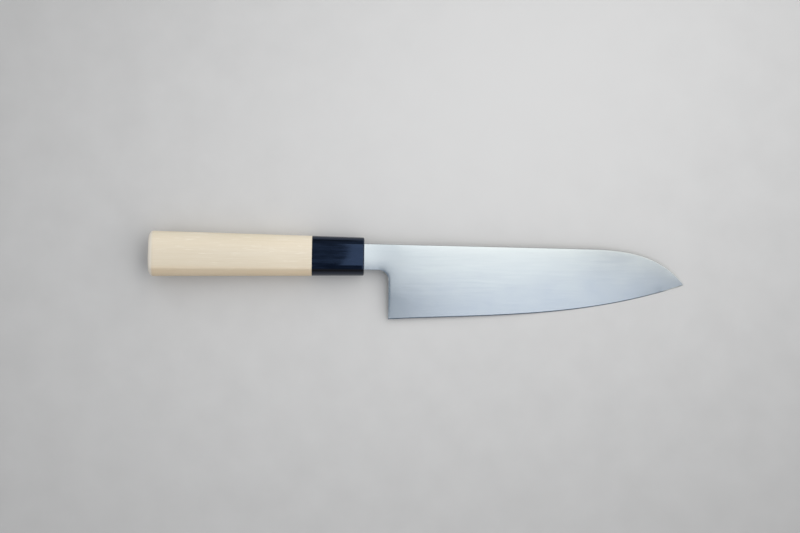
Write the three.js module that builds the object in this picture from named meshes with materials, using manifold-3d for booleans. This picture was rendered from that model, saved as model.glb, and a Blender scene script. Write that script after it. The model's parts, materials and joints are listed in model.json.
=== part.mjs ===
// A double-bevelled kitchen knife of the santoku kind. A one-piece steel blade carries a hidden tang,
// which is bedded in resin inside a D-shaped wooden handle with a horn ferrule at its mouth.
// Millimetres, +Z up. The knife lies on its left side on the table, as it comes to rest by itself.
import * as THREE from "three";
import { ConvexHull } from "three/addons/math/ConvexHull.js";
import { mergeVertices } from "three/addons/utils/BufferGeometryUtils.js";
import Module from "manifold-3d";

const wasm = await Module();
wasm.setup();

// Driving dimensions. The knife's own frame starts on the handle's axis at the ferrule's front face:
// x runs to the tip, y to the spine and z out of the right face, so the blade's middle plane is z = 0.

// Blade outline
const bladeLength = 170.5; // heel corner to tip, along the axis
const neckLength = 14.5; // ferrule face to heel corner
const spineRise = 7.4; // axis up to the spine, at the ferrule
const spineFall = 1; // drop of the straight spine up to where the nose starts
const neckDepth = 7.7; // axis down to the neck's underside
const neckFillet = 5.9; // round between the neck's underside and the heel's back
const heelDepth = 36.5; // axis down to the heel corner
const heelLean = 0.02; // the heel's back leans towards the handle by this much for each unit of height
const tipDepth = 13.8; // axis down to the tip
const edgeRunHeel = 57; // length over which the edge keeps its slope at the heel
const edgeSlopeHeel = 0.065;
const edgeRunTip = 57; // length over which the edge keeps its slope at the tip
const edgeSlopeTip = 0.36;
const noseLength = 55; // the spine's curved run down to the tip
const noseRunSpine = 28; // length over which the nose keeps the spine's slope
const noseRunTip = 12; // length over which the nose keeps its slope at the tip
const noseSlopeTip = 1.2;

// Blade grind
const spineThickness = 2.8; // at the ferrule
const noseThickness = 2; // at the spine, where the nose starts
const flatFall = 0.8; // thickness lost over the flat, from the spine to the grind line at the heel
const flatShare = 0.56; // part of the blade's local height that stays flat, above the grind line
const shoulderThickness = 0.28; // behind the edge bevel
const bevelWidth = 0.55; // edge bevel, seen from the side

// Tang
const shoulderSetback = 4.2; // ferrule face back to where the neck steps down to the tang
const tangHeight = 8; // at the step
const tangEndHeight = 5;
const tangEndThickness = 1.8;

// Handle
const woodLength = 93.1; // butt to ferrule
const ferruleLength = 29.8;
const buttSolid = 34; // solid wood between the butt and the tang's bore
const tenonWall = 0.7; // wood around the corners of the tang's bore, in the tenon
const ferruleFront = 10; // horn ahead of the tenon
const ferruleSide = 1.7; // horn beside the tenon
const mouthWall = 1.95; // horn above and below the neck's slot
const buttExtraHeight = 4; // how much taller the butt is than the mouth
const buttExtraWidth = 3.5;
const ridgeShare = 0.555; // the ridge's depth below the axis, as a part of the half height
const crownShare = 0.3; // the depth of the broad face's widest line below the axis, as a part of the same
const facetDepth = 0.87; // where the lower facet swells most, as a part of the half height
const facetSwell = 0.72; // how far out it swells there, as a part of the half width
const facetUnder = 0.55; // how far out it runs along the bottom, as a part of the half width
const buttRound = 3; // round of the butt's rim
const ferruleEase = 0.8; // chamfer of the ferrule's front rim

// Fits
const fitGap = 0.3; // clearance around the tang, the tenon and the set resin
const glueLine = 0.1; // between the wood's shoulder and the ferrule
const beddingWall = 0.9; // least thickness of the set resin around the tang
const sealWall = 0.9; // thickness of the resin seal around the neck
const sealRecess = 0.4; // how far the seal stays back from the ferrule's face

// Fineness of the round shapes
const bladeStations = 36;
const filletSteps = 6;
const sectionSteps = 16; // steps in each of the three curves of the handle's section
const roundSteps = 4;
const tenonSides = 40;

// Densities in g/cm3, for the centre of mass
const density = { steel: 7.8, wood: 0.55, horn: 1.28, resin: 1.15 };

// Places along the axis that follow from these sizes
const heelX = neckLength;
const tipX = heelX + bladeLength;
const noseX = tipX - noseLength;
const shoulderX = -shoulderSetback;
const jointX = -ferruleLength;
const tenonFrontX = -ferruleFront;
const buttX = jointX - woodLength;
const boreEndX = buttX + buttSolid;

// The blade's side view
const spineAt = (x) => spineRise - (spineFall / noseX) * x;
const heelAt = (y) => heelX - heelLean * (y + heelDepth);

// The flats are two planes: half the thickness falls evenly towards the tip and towards the edge.
const flatDepth = (spineAt(heelX) + heelDepth) * flatShare;
const thinningX = (spineThickness - noseThickness) / 2 / noseX;
const thinningY = flatFall / 2 / flatDepth;
const halfFlat = (x, y) => spineThickness / 2 - thinningX * x - thinningY * (spineAt(x) - y);

// The tang, the set resin around it and the bore that holds both
const tangClearance = fitGap + beddingWall + fitGap;
const tangEndX = boreEndX + tangClearance;
const tangThickness = 2 * halfFlat(shoulderX, tangHeight / 2);
const boreHeight = tangHeight + 2 * tangClearance;
const boreThickness = tangThickness + 2 * tangClearance;
const tenonDiameter = Math.hypot(boreHeight, boreThickness) + 2 * tenonWall;

// The neck, the seal around it and the slot that holds both
const slotClearance = fitGap + sealWall + fitGap;
const neckTop = spineAt(shoulderX);
const neckHeight = neckTop + neckDepth;
const neckThickness = 2 * halfFlat(shoulderX, neckTop);

// The handle's outside follows from what it holds
const mouthHeight = neckHeight + 2 * (slotClearance + mouthWall);
const mouthWidth = tenonDiameter + 2 * (fitGap + ferruleSide);
const buttHeight = mouthHeight + buttExtraHeight;
const buttWidth = mouthWidth + buttExtraWidth;

// Helpers for solids

function finish(color, roughness, metalness) {
  return new THREE.MeshStandardMaterial({ color, roughness, metalness });
}

function piece(name, geometry, material, gramsPerCm3) {
  geometry.computeVertexNormals();
  const mesh = new THREE.Mesh(geometry, material);
  mesh.name = name;
  mesh.userData.density = gramsPerCm3;
  return mesh;
}

function toSolid(geometry) {
  const bare = geometry.clone();
  bare.deleteAttribute("normal");
  bare.deleteAttribute("uv");
  const merged = mergeVertices(bare);
  const vertProperties = merged.attributes.position.array;
  const triVerts = new Uint32Array(merged.index.array);
  return new wasm.Manifold(new wasm.Mesh({ numProp: 3, vertProperties, triVerts }));
}

function toGeometry(solid) {
  const mesh = solid.getMesh();
  return new THREE.BufferGeometry()
    .setAttribute("position", new THREE.BufferAttribute(mesh.vertProperties, 3))
    .setIndex(new THREE.BufferAttribute(mesh.triVerts, 1));
}

function fromTriangles(points) {
  return mergeVertices(new THREE.BufferGeometry().setFromPoints(points));
}

// Rings of equal length, in order along +x and each anticlockwise seen from +x, skinned and capped flat.
function skin(rings) {
  const points = [];
  const count = rings[0].length;
  for (let i = 0; i + 1 < rings.length; i++) {
    for (let j = 0; j < count; j++) {
      const next = (j + 1) % count;
      points.push(rings[i][j], rings[i][next], rings[i + 1][next]);
      points.push(rings[i][j], rings[i + 1][next], rings[i + 1][j]);
    }
  }
  const first = rings[0];
  const last = rings.at(-1);
  const middleOf = (ring) => ring.reduce((sum, p) => sum.add(p), new THREE.Vector3()).divideScalar(count);
  for (let j = 0; j < count; j++) {
    const next = (j + 1) % count;
    points.push(middleOf(first), first[next], first[j]);
    points.push(middleOf(last), last[j], last[next]);
  }
  return fromTriangles(points);
}

// A bar along the axis, with a rectangular section {x, height, thickness} at its back and at its front.
function bar(back, front) {
  const ring = ({ x, height, thickness }) => [
    new THREE.Vector3(x, height / 2, -thickness / 2),
    new THREE.Vector3(x, height / 2, thickness / 2),
    new THREE.Vector3(x, -height / 2, thickness / 2),
    new THREE.Vector3(x, -height / 2, -thickness / 2),
  ];
  return skin([ring(back), ring(front)]);
}

// A round bar along the axis.
function rod(backX, frontX, diameter) {
  return new THREE.CylinderGeometry(diameter / 2, diameter / 2, frontX - backX, tenonSides)
    .rotateZ(-Math.PI / 2)
    .translate((backX + frontX) / 2, 0, 0);
}

// Blade

const tip = new THREE.Vector2(tipX, -tipDepth);

const noseCurve = new THREE.CubicBezierCurve(
  new THREE.Vector2(noseX, spineAt(noseX)),
  new THREE.Vector2(noseX + noseRunSpine, spineAt(noseX + noseRunSpine)),
  new THREE.Vector2(tipX - noseRunTip, -tipDepth + noseSlopeTip * noseRunTip),
  tip,
);

const edgeCurve = new THREE.CubicBezierCurve(
  new THREE.Vector2(heelX, -heelDepth),
  new THREE.Vector2(heelX + edgeRunHeel, -heelDepth + edgeSlopeHeel * edgeRunHeel),
  new THREE.Vector2(tipX - edgeRunTip, -tipDepth - edgeSlopeTip * edgeRunTip),
  tip,
);

const spinePath = new THREE.CurvePath();
spinePath.add(new THREE.LineCurve(new THREE.Vector2(heelAt(spineRise), spineAt(heelAt(spineRise))), noseCurve.v0));
spinePath.add(noseCurve);

// The neck's underside and the fillet that turns down into the heel's back, from the ferrule to the heel.
function neckUnderside() {
  const heelY = -neckDepth - neckFillet;
  const centre = new THREE.Vector2(heelAt(heelY) - neckFillet, heelY);
  const points = [new THREE.Vector2(shoulderX, -neckDepth)];
  for (let i = 0; i <= filletSteps; i++) {
    const turn = (Math.PI / 2) * (1 - i / filletSteps);
    points.push(new THREE.Vector2(Math.cos(turn), Math.sin(turn)).multiplyScalar(neckFillet).add(centre));
  }
  return points;
}

// The side view is a net of corners, each with its place and half the thickness there. Four lines run from
// heel to tip: spine, grind line, bevel shoulder and edge. Both faces carry the net, and a wall joins them
// around the outline wherever the steel has any thickness.
function bladeGeometry() {
  const corners = [];
  const corner = (at, half) => corners.push({ at, half }) - 1;
  const onFlat = (at) => corner(at, halfFlat(at.x, at.y));

  const spine = [];
  const grind = [];
  const shoulder = [];
  const edge = [];
  for (let i = 0; i < bladeStations; i++) {
    const top = spinePath.getPointAt(i / bladeStations);
    const bottom = edgeCurve.getPointAt(i / bladeStations);
    const bevelShare = bevelWidth / top.distanceTo(bottom);
    const grindShare = 1 - flatShare;
    const at = (share) => new THREE.Vector2().lerpVectors(bottom, top, share);
    spine.push(onFlat(top));
    grind.push(onFlat(at(grindShare)));
    shoulder.push(corner(at(Math.min(bevelShare, grindShare / 2)), shoulderThickness / 2));
    edge.push(corner(bottom, 0));
  }
  const point = corner(tip, 0);
  const underside = neckUnderside().map(onFlat);
  const topOfNeck = onFlat(new THREE.Vector2(shoulderX, neckTop));
  const tangFront = [1, -1].map((side) => onFlat(new THREE.Vector2(shoulderX, (side * tangHeight) / 2)));
  const tangEnd = [1, -1].map((side) =>
    corner(new THREE.Vector2(tangEndX, (side * tangEndHeight) / 2), tangEndThickness / 2),
  );

  // Triangles, anticlockwise seen from the right
  const faces = [];
  const fan = (hub, ...rim) => {
    for (let i = 0; i + 1 < rim.length; i++) {
      faces.push([hub, rim[i], rim[i + 1]]);
    }
  };
  const strip = (upper, lower, start) => {
    for (let i = start; i + 1 < upper.length; i++) {
      fan(upper[i + 1], upper[i], lower[i], lower[i + 1]);
    }
    fan(point, upper.at(-1), lower.at(-1));
  };
  fan(tangFront[0], tangEnd[0], tangEnd[1], tangFront[1]);
  fan(spine[0], topOfNeck, ...tangFront, ...underside);
  fan(spine[1], spine[0], underside.at(-1), grind[0], grind[1]);
  strip(spine, grind, 1);
  strip(grind, shoulder, 0);
  strip(shoulder, edge, 0);

  // Outline, anticlockwise seen from the right: along the edge, back over the spine, around tang and heel
  const outline = [
    ...edge,
    point,
    ...spine.toReversed(),
    topOfNeck,
    tangFront[0],
    ...tangEnd,
    tangFront[1],
    ...underside,
    grind[0],
    shoulder[0],
  ];

  const right = (k) => new THREE.Vector3(corners[k].at.x, corners[k].at.y, corners[k].half);
  const left = (k) => new THREE.Vector3(corners[k].at.x, corners[k].at.y, -corners[k].half);
  const points = [];
  for (const [a, b, c] of faces) {
    points.push(right(a), right(b), right(c));
    points.push(left(a), left(c), left(b));
  }
  outline.forEach((a, i) => {
    const b = outline[(i + 1) % outline.length];
    if (corners[a].half > 0) points.push(left(a), left(b), right(a));
    if (corners[b].half > 0) points.push(right(a), left(b), right(b));
  });
  return fromTriangles(points);
}

// Handle

// The D-shaped section: a half ellipse on the left, and on the right a broad face, which is an arc of a
// taller ellipse, and a narrow lower facet. The two meet in a ridge. It is drawn anticlockwise seen from
// +x, with y across and z up.
function handleSection(halfHeight, halfWidth) {
  const crown = crownShare * halfHeight;
  const reach = halfHeight + crown;
  const ridgeTurn = Math.acos((crown - ridgeShare * halfHeight) / reach);
  const face = new THREE.EllipseCurve(-crown, 0, reach, halfWidth, 0, ridgeTurn);
  const back = new THREE.EllipseCurve(0, 0, halfHeight, halfWidth, Math.PI, 2 * Math.PI);
  const facet = new THREE.CubicBezierCurve(
    face.getPoint(1),
    new THREE.Vector2(-facetDepth * halfHeight, facetSwell * halfWidth),
    new THREE.Vector2(-halfHeight, facetUnder * halfWidth),
    back.getPoint(0),
  );
  return [facet, back, face].flatMap((curve) => curve.getPoints(sectionSteps).slice(0, -1));
}

// The handle tapers evenly from the butt to the mouth. A ring may be drawn in from that taper by an inset.
function handleRing(x, inset = 0) {
  const height = THREE.MathUtils.mapLinear(x, buttX, 0, buttHeight, mouthHeight);
  const width = THREE.MathUtils.mapLinear(x, buttX, 0, buttWidth, mouthWidth);
  return handleSection(height / 2 - inset, width / 2 - inset).map((p) => new THREE.Vector3(x, p.x, p.y));
}

// A straight bar of the bore's section, drawn in all round by an inset.
function boreBar(backX, frontX, inset = 0) {
  const height = boreHeight - 2 * inset;
  const thickness = boreThickness - 2 * inset;
  return bar({ x: backX, height, thickness }, { x: frontX, height, thickness });
}

// A straight bar of the neck's section, grown all round by a margin.
function neckBar(backX, frontX, margin) {
  const height = neckHeight + 2 * margin;
  const thickness = neckThickness + 2 * margin;
  return bar({ x: backX, height, thickness }, { x: frontX, height, thickness })
    .translate(0, neckTop - neckHeight / 2, 0);
}

// The grip with its rounded butt, its tenon rooted one diameter deep, and the blind bore for the tang.
function handleBody() {
  const rings = [];
  for (let i = 0; i <= roundSteps; i++) {
    const turn = (Math.PI / 2) * (i / roundSteps);
    rings.push(handleRing(buttX + buttRound * (1 - Math.cos(turn)), buttRound * (1 - Math.sin(turn))));
  }
  rings.push(handleRing(jointX - glueLine));
  const tenon = rod(jointX - tenonDiameter, tenonFrontX, tenonDiameter);
  const bore = boreBar(boreEndX, 0);
  return toGeometry(toSolid(skin(rings)).add(toSolid(tenon)).subtract(toSolid(bore)));
}

// The horn collar: a socket for the tenon behind, a passage for the tang and a slot for the neck in front.
function ferrule() {
  const shell = skin([handleRing(jointX), handleRing(-ferruleEase), handleRing(0, ferruleEase)]);
  const socket = rod(jointX - fitGap, tenonFrontX + fitGap, tenonDiameter + 2 * fitGap);
  const passage = boreBar(jointX, 0);
  const slot = neckBar(shoulderX - fitGap, fitGap, slotClearance);
  return toGeometry(
    toSolid(shell).subtract(toSolid(socket)).subtract(toSolid(passage)).subtract(toSolid(slot)),
  );
}

// Set resin

// A flat ring that fills the slot around the neck.
function mouthSeal() {
  const plug = neckBar(shoulderX, -sealRecess, fitGap + sealWall);
  const neckRoom = neckBar(shoulderX - fitGap, 0, fitGap);
  return toGeometry(toSolid(plug).subtract(toSolid(neckRoom)));
}

// A cup that fills the bore around the tang.
function tangBedding() {
  const cast = boreBar(boreEndX + fitGap, shoulderX - 2 * fitGap, fitGap);
  const tangRoom = bar(
    { x: tangEndX - fitGap, height: tangEndHeight + 2 * fitGap, thickness: tangEndThickness + 2 * fitGap },
    { x: shoulderX, height: tangHeight + 2 * fitGap, thickness: tangThickness + 2 * fitGap },
  );
  return toGeometry(toSolid(cast).subtract(toSolid(tangRoom)));
}

// Assembly

const blade = piece("blade", bladeGeometry(), finish(0xc9d0d6, 0.3, 1), density.steel);
const handle = new THREE.Group();
handle.add(
  piece("handle_body", handleBody(), finish(0xe6d8bc, 0.6, 0), density.wood),
  piece("ferrule", ferrule(), finish(0x15171c, 0.2, 0), density.horn),
  piece("mouth_seal", mouthSeal(), finish(0x2a241c, 0.45, 0), density.resin),
  piece("tang_bedding", tangBedding(), finish(0x8a7a5a, 0.5, 0), density.resin),
);
const knife = new THREE.Group();
knife.add(blade, handle);

// Each triangle and the origin make a tetrahedron. Their weighted middles add up to the centre of mass.
function centreOfMass(meshes) {
  const moment = new THREE.Vector3();
  let mass = 0;
  for (const mesh of meshes) {
    const places = mesh.geometry.toNonIndexed().attributes.position;
    for (let i = 0; i < places.count; i += 3) {
      const [a, b, c] = [i, i + 1, i + 2].map((k) => new THREE.Vector3().fromBufferAttribute(places, k));
      const weight = (mesh.userData.density * a.dot(b.clone().cross(c))) / 6;
      moment.addScaledVector(a.add(b).add(c).divideScalar(4), weight);
      mass += weight;
    }
  }
  return moment.divideScalar(mass);
}

// The facet of the convex hull, on the knife's left side, that lies under the centre of mass.
function restingFacet(hull, centre) {
  const liesUnder = (face) =>
    [0, 1, 2].every((k) => {
      const side = face.getEdge(k);
      const along = side.head().point.clone().sub(side.tail().point);
      const across = centre.clone().sub(side.tail().point);
      return along.cross(across).dot(face.normal) >= 0;
    });
  return hull.faces.find((face) => face.normal.z < 0 && liesUnder(face));
}

// Turns the resting facet down, points the handle's axis along +X and centres the knife over the origin.
function layDown(group) {
  const facet = restingFacet(new ConvexHull().setFromObject(group), centreOfMass([blade, ...handle.children]));
  const up = new THREE.Vector3(0, 0, 1);
  const tilt = new THREE.Quaternion().setFromUnitVectors(facet.normal.clone().negate(), up);
  const heading = new THREE.Vector3(1, 0, 0).applyQuaternion(tilt);
  const yaw = new THREE.Quaternion().setFromAxisAngle(up, -Math.atan2(heading.y, heading.x));
  group.quaternion.copy(yaw.multiply(tilt));
  group.updateMatrixWorld(true);
  const box = new THREE.Box3().setFromObject(group, true);
  group.position.set(-(box.min.x + box.max.x) / 2, -(box.min.y + box.max.y) / 2, -box.min.z);
}

layDown(knife);

const part = new THREE.Group();
part.add(knife);

export default part;
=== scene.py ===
import json
from math import pi, radians

import bmesh
import bpy
import numpy as np
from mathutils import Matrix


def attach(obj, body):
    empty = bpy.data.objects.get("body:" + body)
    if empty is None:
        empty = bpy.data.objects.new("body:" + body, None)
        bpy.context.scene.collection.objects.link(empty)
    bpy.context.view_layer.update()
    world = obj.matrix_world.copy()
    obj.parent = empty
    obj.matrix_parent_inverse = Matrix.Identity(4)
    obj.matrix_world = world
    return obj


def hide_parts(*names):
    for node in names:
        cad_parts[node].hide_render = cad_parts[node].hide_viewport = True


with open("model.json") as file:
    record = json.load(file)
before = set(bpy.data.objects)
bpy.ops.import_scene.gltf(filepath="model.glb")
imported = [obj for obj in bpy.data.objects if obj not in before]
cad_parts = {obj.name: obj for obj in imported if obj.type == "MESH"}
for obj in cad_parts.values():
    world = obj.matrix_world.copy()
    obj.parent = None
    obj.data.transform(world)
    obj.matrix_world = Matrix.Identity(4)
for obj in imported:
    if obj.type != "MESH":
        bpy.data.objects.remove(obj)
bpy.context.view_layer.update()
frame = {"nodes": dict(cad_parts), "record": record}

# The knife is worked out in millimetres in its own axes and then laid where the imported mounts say:
# x runs from the butt to the tip, y to the spine, z out of the right face, from the ferrule's mouth.
handleLength = 122.9
mergeDistance = 2e-7       # metres, points nearer than this become one
noiseSpread = (0.3, 0.7)   # most values of a noise texture lie in here
mounts = {mount["name"]: mount for mount in frame["record"]["mounts"]}
along = -np.array(mounts["butt_face"]["axis"])
outward = np.subtract(mounts["blade_right_flat"]["axis"], mounts["blade_left_flat"]["axis"])
along /= np.linalg.norm(along)
outward /= np.linalg.norm(outward)
knifeAxes = np.stack([along, np.cross(outward, along), outward])
mouthPoint = np.array(mounts["butt_face"]["pos_m"]) + along * handleLength * 0.001
print("frame loaded, mouth at", mouthPoint.round(4).tolist())


def hexColour(text):
    # sRGB hex to linear red, green, blue and a full alpha
    code = np.array([int(text[i:i + 2], 16) for i in (1, 3, 5)]) / 255
    linear = np.where(code <= 0.04045, code / 12.92, ((code + 0.055) / 1.055) ** 2.4)
    return (*linear.tolist(), 1.0)


def addNode(tree, kind, inputs=None, stops=(), **settings):
    # one node: its settings, its input values or the sockets that feed them, and a ramp's stops
    node = tree.nodes.new("ShaderNode" + kind)
    for name, value in settings.items():
        setattr(node, name, value)
    for name, value in (inputs or {}).items():
        if isinstance(value, bpy.types.NodeSocket):
            tree.links.new(value, node.inputs[name])
        else:
            node.inputs[name].default_value = value
    for i, (position, colour) in enumerate(stops):
        stop = node.color_ramp.elements[i] if i < 2 else node.color_ramp.elements.new(position)
        stop.position = position
        stop.color = colour
    return node


def newMaterial(name):
    # an empty material and its node tree
    material = bpy.data.materials.new(name)
    material.use_nodes = True
    material.node_tree.nodes.clear()
    return material, material.node_tree


def gridQuads(rows, cols, first, closedRows, closedCols):
    # cell corners of a grid whose points are numbered row by row, wrapped round where it closes
    row = np.arange(rows if closedRows else rows - 1)[:, None]
    col = np.arange(cols if closedCols else cols - 1)[None, :]
    nextRow = (row + 1) % rows
    nextCol = (col + 1) % cols
    corners = (row * cols + col, row * cols + nextCol, nextRow * cols + nextCol, nextRow * cols + col)
    return first + np.stack(np.broadcast_arrays(*corners), -1).reshape(-1, 4)


def makePiece(name, grids, node, material, crease):
    # grids of points in the knife's own millimetres, joined where they meet, in place of a CAD node
    points, quads = [], []
    for grid, closedRows, closedCols in grids:
        quads.append(gridQuads(*grid.shape[:2], sum(map(len, points)), closedRows, closedCols))
        points.append(grid.reshape(-1, 3))
    places = np.concatenate(points) * 0.001 @ knifeAxes + mouthPoint
    mesh = bpy.data.meshes.new(name)
    mesh.from_pydata(places.tolist(), [], np.concatenate(quads).tolist())
    shape = bmesh.new()
    shape.from_mesh(mesh)
    bmesh.ops.remove_doubles(shape, verts=shape.verts, dist=mergeDistance)
    bmesh.ops.dissolve_degenerate(shape, edges=shape.edges, dist=mergeDistance / 2)
    bmesh.ops.recalc_face_normals(shape, faces=shape.faces)
    shape.to_mesh(mesh)
    openEdges = sum(len(edge.link_faces) != 2 for edge in shape.edges)
    shape.free()
    mesh.polygons.foreach_set("use_smooth", np.ones(len(mesh.polygons), bool))
    mesh.set_sharp_from_angle(angle=radians(crease))
    # the materials read each point's place on the knife, in millimetres
    flat = np.empty(len(mesh.vertices) * 3, np.float32)
    mesh.vertices.foreach_get("co", flat)
    local = (flat.reshape(-1, 3) - mouthPoint) @ knifeAxes.T * 1000
    mesh.attributes.new("knifePlace", "FLOAT_VECTOR", "POINT").data.foreach_set("vector", local.ravel())
    mesh.materials.append(material)
    piece = bpy.data.objects.new(name, mesh)
    bpy.context.scene.collection.objects.link(piece)
    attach(piece, "root")
    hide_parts(node)
    print(name, len(mesh.polygons), "faces,", openEdges, "open edges")


# Stainless knife steel, ground and then rubbed lengthwise to a satin: a cool, soft mirror with hairlines.
steel = {
    "colour": "#c2c8c7", "shade": "#b7bdbe", "roughness": 0.2, "roughnessSwing": 0.02,
    "hairline": 0.45,         # mm between hairlines, several times the real grit so that they show
    "hairlineLength": 26.0,   # mm
    "hairlineDepth": 0.0004, "bump": 0.0015,     # metres, and how much of it counts
    "smudge": 14.0,           # mm, wiped cloudy patches
    "cloudSpread": (0.6, 1.4),                   # smudges and hairlines added, from the shade to the colour
    "wave": (24.0, 9.0), "waveDepth": 0.00002,   # mm along and across, metres: left by grinding by hand
}
satinSteel, tree = newMaterial("satin_ground_stainless_steel")
place = addNode(tree, "Attribute", attribute_name="knifePlace").outputs["Vector"]
hairs = addNode(tree, "Mapping", {"Vector": place, "Scale": (
    1 / steel["hairlineLength"], 1 / steel["hairline"], 1 / steel["hairline"])})
hairNoise = addNode(tree, "TexNoise", {
    "Vector": hairs.outputs["Vector"], "Scale": 1.0, "Detail": 3.0, "Roughness": 0.6})
smudges = addNode(tree, "TexNoise", {"Vector": place, "Scale": 1 / steel["smudge"], "Detail": 4.0})
cloudy = addNode(tree, "Math", {0: smudges.outputs["Fac"], 1: hairNoise.outputs["Fac"]}, operation="ADD")
cloudShare = addNode(tree, "MapRange", {
    "Value": cloudy.outputs[0], "From Min": steel["cloudSpread"][0], "From Max": steel["cloudSpread"][1]})
steelColour = addNode(tree, "Mix", {
    0: cloudShare.outputs["Result"], 6: hexColour(steel["shade"]), 7: hexColour(steel["colour"])},
    data_type="RGBA")
steelRoughness = addNode(tree, "MapRange", {
    "Value": smudges.outputs["Fac"], "From Min": noiseSpread[0], "From Max": noiseSpread[1],
    "To Min": steel["roughness"] - steel["roughnessSwing"],
    "To Max": steel["roughness"] + steel["roughnessSwing"]})
waves = addNode(tree, "Mapping", {"Vector": place, "Scale": (
    1 / steel["wave"][0], 1 / steel["wave"][1], 1 / steel["wave"][1])})
waveNoise = addNode(tree, "TexNoise", {
    "Vector": waves.outputs["Vector"], "Scale": 1.0, "Detail": 2.0, "Roughness": 0.4})
waveBump = addNode(tree, "Bump", {
    "Height": waveNoise.outputs["Fac"], "Strength": 1.0, "Distance": steel["waveDepth"]})
hairBump = addNode(tree, "Bump", {
    "Height": hairNoise.outputs["Fac"], "Strength": steel["bump"], "Distance": steel["hairlineDepth"],
    "Normal": waveBump.outputs["Normal"]})
steelShader = addNode(tree, "BsdfPrincipled", {
    "Base Color": steelColour.outputs[2], "Metallic": 1.0, "Roughness": steelRoughness.outputs["Result"],
    "Normal": hairBump.outputs["Normal"]})
addNode(tree, "OutputMaterial", {"Surface": steelShader.outputs["BSDF"]})

# Magnolia wood, planed, finely sanded and left bare: pale cream, dull, with straight faint grain.
wood = {
    # end: the butt's paler rim, painted light standing in for light from the left
    "pale": "#ede2cd", "dark": "#e8dcc2", "streak": "#f3ead8", "end": "#f3ecdf",
    "roughness": 0.62, "ior": 1.5, "specular": 0.3,
    "fleck": "#fdf6e7", "fleckWidth": 0.9, "fleckLength": 8.0,   # mm, short pale dashes in the grain
    "fleckSpread": (0.62, 0.76), "fleckShare": 0.5,              # only the noise's peaks, at most so pale
    "paintedButtShade": "#fafafa", "paintedShadeRun": (-78.0, -42.0),            # mm, painted shade: darker at the butt, where less light falls, fading out from here to there
    "paintedRimRun": (2.6, 1.4),                                        # mm from the butt, where the paler rim begins: painted light from the left, drawn as pale end grain
    "paintedShadeReach": 12.0,                                          # mm, the painted shade's reach from the axis
    # painted light and shade across the handle, darker on the lower facet and paler towards the top as the
    # light falls: mm above the axis and a colour to multiply by
    "paintedHeightShade": ((-8.0, "#f1e7db"), (12.0, "#ffffff"), (-5.0, "#f3f1ee"), (2.0, "#f4f3f2"), (7.0, "#fbfaf9")),
    "ring": 1.9, "ringShare": 0.06,   # mm between growth rings, and how much they count beside the fibres
    "sway": 3.0,              # mm that the rings wander along the handle
    "swayScale": (0.009, 0.04, 0.04),   # turns of that wandering for each mm along and across
    "pith": (60.0, -80.0),    # mm across and out, where the rings are centred
    "fibre": 0.45,            # mm, drawn coarser than the real fibres
    "fibreLength": 26.0,      # mm
    "fibreDepth": 0.0003, "bump": 0.02,   # metres, and how much of it counts
    "cloud": 22.0, "cloudStretch": 0.3,   # mm, broad paler and darker zones, drawn out along the handle
    "grainSpread": (0.5, 1.56),           # rings, fibres and zones added, from the palest to the darkest
    "grainStops": (0.1, 0.5, 0.9),        # streak, pale and dark
}
sandedMagnolia, tree = newMaterial("sanded_magnolia_wood")
place = addNode(tree, "Attribute", attribute_name="knifePlace").outputs["Vector"]
wander = addNode(tree, "Mapping", {"Vector": place, "Scale": wood["swayScale"]})
wanderNoise = addNode(tree, "TexNoise", {"Vector": wander.outputs["Vector"], "Scale": 1.0, "Detail": 2.0})
fromPith = addNode(tree, "VectorMath", {
    0: place, 1: (0.0, wood["pith"][0], wood["pith"][1])}, operation="SUBTRACT")
across = addNode(tree, "VectorMath", {
    0: fromPith.outputs["Vector"], 1: (0.0, 1.0, 1.0)}, operation="MULTIPLY")
radius = addNode(tree, "VectorMath", {0: across.outputs["Vector"]}, operation="LENGTH")
swayed = addNode(tree, "Math", {
    0: wanderNoise.outputs["Fac"], 1: wood["sway"], 2: radius.outputs["Value"]}, operation="MULTIPLY_ADD")
ringTurn = addNode(tree, "Math", {0: swayed.outputs[0], 1: 2 * pi / wood["ring"]}, operation="MULTIPLY")
ringWave = addNode(tree, "Math", {0: ringTurn.outputs[0]}, operation="SINE")
rings = addNode(tree, "MapRange", {
    "Value": ringWave.outputs[0], "From Min": -1.0, "From Max": 1.0}, interpolation_type="SMOOTHSTEP")
fibres = addNode(tree, "Mapping", {"Vector": place, "Scale": (
    1 / wood["fibreLength"], 1 / wood["fibre"], 1 / wood["fibre"])})
fibreNoise = addNode(tree, "TexNoise", {
    "Vector": fibres.outputs["Vector"], "Scale": 1.0, "Detail": 4.0, "Roughness": 0.65})
zones = addNode(tree, "Mapping", {"Vector": place, "Scale": (
    wood["cloudStretch"] / wood["cloud"], 1 / wood["cloud"], 1 / wood["cloud"])})
zoneNoise = addNode(tree, "TexNoise", {"Vector": zones.outputs["Vector"], "Scale": 1.0, "Detail": 2.0})
fibreZone = addNode(tree, "Math", {
    0: fibreNoise.outputs["Fac"], 1: zoneNoise.outputs["Fac"]}, operation="ADD")
grain = addNode(tree, "Math", {
    0: rings.outputs["Result"], 1: wood["ringShare"], 2: fibreZone.outputs[0]}, operation="MULTIPLY_ADD")
grainShare = addNode(tree, "MapRange", {
    "Value": grain.outputs[0], "From Min": wood["grainSpread"][0], "From Max": wood["grainSpread"][1]})
streakStop, paleStop, darkStop = wood["grainStops"]
woodColour = addNode(tree, "ValToRGB", {"Fac": grainShare.outputs["Result"]}, stops=(
    (streakStop, hexColour(wood["streak"])), (darkStop, hexColour(wood["dark"])),
    (paleStop, hexColour(wood["pale"]))))
flecks = addNode(tree, "Mapping", {"Vector": place, "Scale": (
    1 / wood["fleckLength"], 1 / wood["fleckWidth"], 1 / wood["fleckWidth"])})
fleckNoise = addNode(tree, "TexNoise", {"Vector": flecks.outputs["Vector"], "Scale": 1.0, "Detail": 1.0})
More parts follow.
